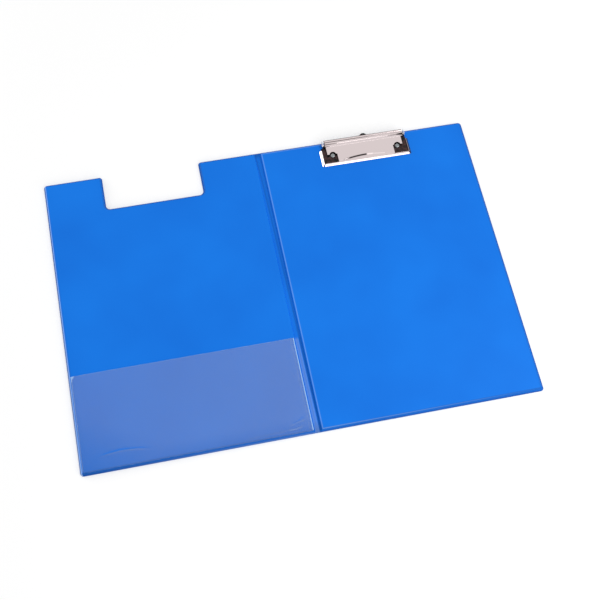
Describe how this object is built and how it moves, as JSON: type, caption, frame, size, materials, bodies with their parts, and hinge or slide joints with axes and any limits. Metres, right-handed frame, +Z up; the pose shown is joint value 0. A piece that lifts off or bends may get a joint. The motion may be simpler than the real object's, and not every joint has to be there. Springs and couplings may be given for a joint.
{
  "type": "fold-over clipboard",
  "caption": "Fold-over clipboard with plastic-covered boards on a folding spine, a sprung steel clip with a hanging loop, a notched cover and a clear pocket.",
  "frame": {"origin": "under the middle of the whole part, on the surface that it lies on", "axes": "+X across the open folder from the front cover to the board with the clip, +Y along the boards towards the clip, +Z up out of the inside faces"},
  "size_m": [0.456, 0.3217, 0.0091],
  "materials": {
    "blue_pvc": "blue soft PVC film, satin",
    "greyboard": "plain greyboard",
    "clear_film": "clear PVC film, slightly milky",
    "bright_steel": "bright nickel-plated steel"
  },
  "bodies": {
    "rear_board": {"rear_board_core": "greyboard", "rear_board_inner_skin": "blue_pvc", "rear_board_outer_skin": "blue_pvc", "base_plate": "bright_steel", "pivot_pin": "bright_steel", "rivets": "bright_steel", "rivet_backs": "bright_steel", "left_spring": "bright_steel", "right_spring": "bright_steel"},
    "spine": {"spine_outer_skin": "blue_pvc", "spine_inner_skin": "blue_pvc"},
    "front_cover": {"front_cover_core": "greyboard", "front_cover_inner_skin": "blue_pvc", "front_cover_outer_skin": "blue_pvc", "clear_pocket": "clear_film"},
    "clip_jaw": {"jaw_plate": "bright_steel"},
    "hanging_loop": {"hanger": "bright_steel"}
  },
  "joints": [
    {"name": "rear_fold", "type": "hinge", "parent": "rear_board", "child": "spine", "pos_m": [0.00315, 0, 0.00035], "axis": [0, 1, 0], "range_deg": [-90, 90]},
    {"name": "front_fold", "type": "hinge", "parent": "spine", "child": "front_cover", "pos_m": [-0.00315, 0, 0.00035], "axis": [0, 1, 0], "range_deg": [-90, 90]},
    {"name": "jaw_hinge", "type": "hinge", "parent": "rear_board", "child": "clip_jaw", "pos_m": [0.1154, 0.1517, 0.0058], "axis": [-1, 0, 0], "range_deg": [0, 24], "stiffness_Nm_per_rad": 0.3, "springref_deg": -45.84, "deforming": ["left_spring", "right_spring"]},
    {"name": "hanger_slide", "type": "slide", "parent": "rear_board", "child": "hanging_loop", "axis": [0, 1, 0], "range_m": [0, 0.014]}
  ]
}
